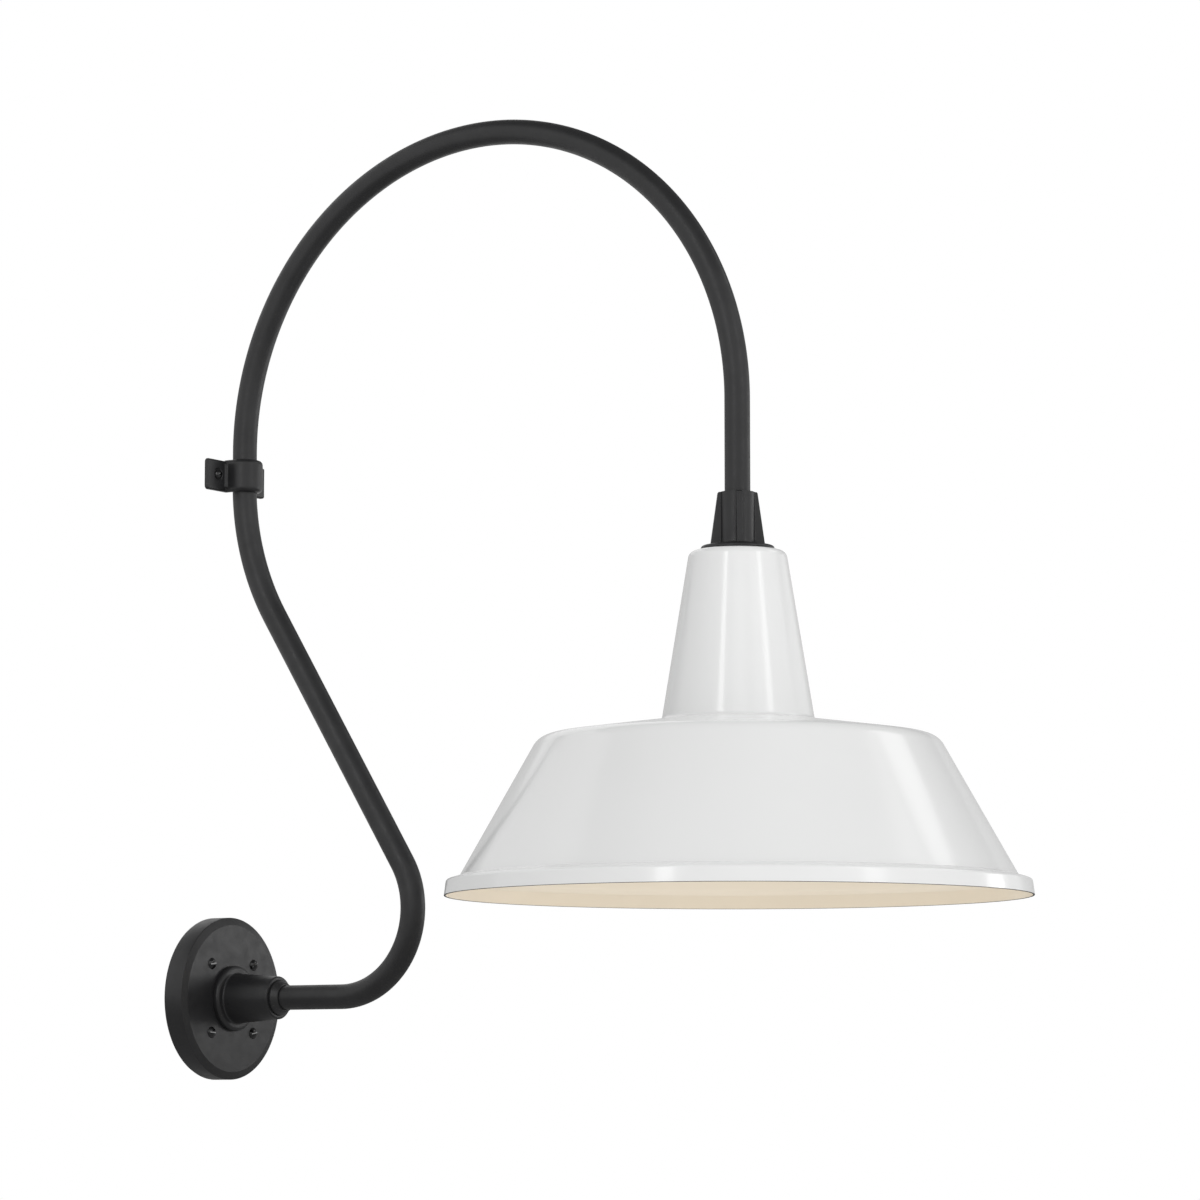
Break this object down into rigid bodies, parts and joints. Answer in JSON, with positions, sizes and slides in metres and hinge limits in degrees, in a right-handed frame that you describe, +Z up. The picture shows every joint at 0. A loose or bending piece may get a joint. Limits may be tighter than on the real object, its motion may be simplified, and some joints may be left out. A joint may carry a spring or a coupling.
{
  "type": "gooseneck wall light",
  "caption": "Barn light with a round backplate, a bent tube arm held by a wall strap, a finned collar and a wide spun shade with a raised neck and a bulb inside.",
  "frame": {"origin": "middle of the backplate, on the face of the wall", "axes": "-Y points straight out from the wall, +Y into it, +Z up, +X right as one faces the wall; the arm lies in the plane X = 0"},
  "size_m": [0.5079, 0.8331, 0.8651],
  "materials": {
    "black_paint": "satin black powder coat",
    "enamel": "gloss white enamel outside, cream enamel inside, bare dark cut edge",
    "black_steel": "black oxide, satin",
    "green_steel": "green dyed zinc",
    "zinc_steel": "bright zinc",
    "rubber": "matt",
    "porcelain": "glazed porcelain, opaque",
    "brass": "satin",
    "black_lead": "satin",
    "white_lead": "satin",
    "green_lead": "satin",
    "bushing": "matt",
    "cap_metal": "bright",
    "cap_glass": "black vitreous insulator",
    "bulb_glass": "frosted"
  },
  "bodies": {
    "fixture": {"backplate": "black_paint", "wall_gasket": "rubber", "cover_screws": "black_steel", "hub": "black_paint", "hub_washer": "zinc_steel", "hub_lock_nut": "zinc_steel", "gland_ring": "black_paint", "hub_set_screw": "black_steel", "arm_tube": "black_paint", "wall_strap": "black_paint", "strap_screws": "black_steel", "fitter_collar": "black_paint", "collar_set_screw": "black_steel", "flange_gasket": "rubber", "shade": "enamel", "stem": "zinc_steel", "shade_washer": "zinc_steel", "shade_lock_nut": "zinc_steel", "bracket_lock_nut": "zinc_steel", "holder_bracket": "zinc_steel", "holder_screws": "zinc_steel", "lampholder": "porcelain", "screw_shell": "brass", "centre_contact": "brass", "terminal_plates": "brass", "terminal_screws": "brass", "live_lead": "black_lead", "neutral_lead": "white_lead", "wire_bushing": "bushing", "earth_screw": "green_steel", "earth_lead": "green_lead"},
    "bulb": {"bulb_cap": "cap_metal", "bulb_insulator": "cap_glass", "bulb_contact": "zinc_steel", "bulb_glass": "bulb_glass"}
  },
  "joints": [
    {"name": "bulb_unscrew", "type": "slide", "parent": "fixture", "child": "bulb", "axis": [0, 0, -1], "range_m": [0, 0.025]}
  ]
}
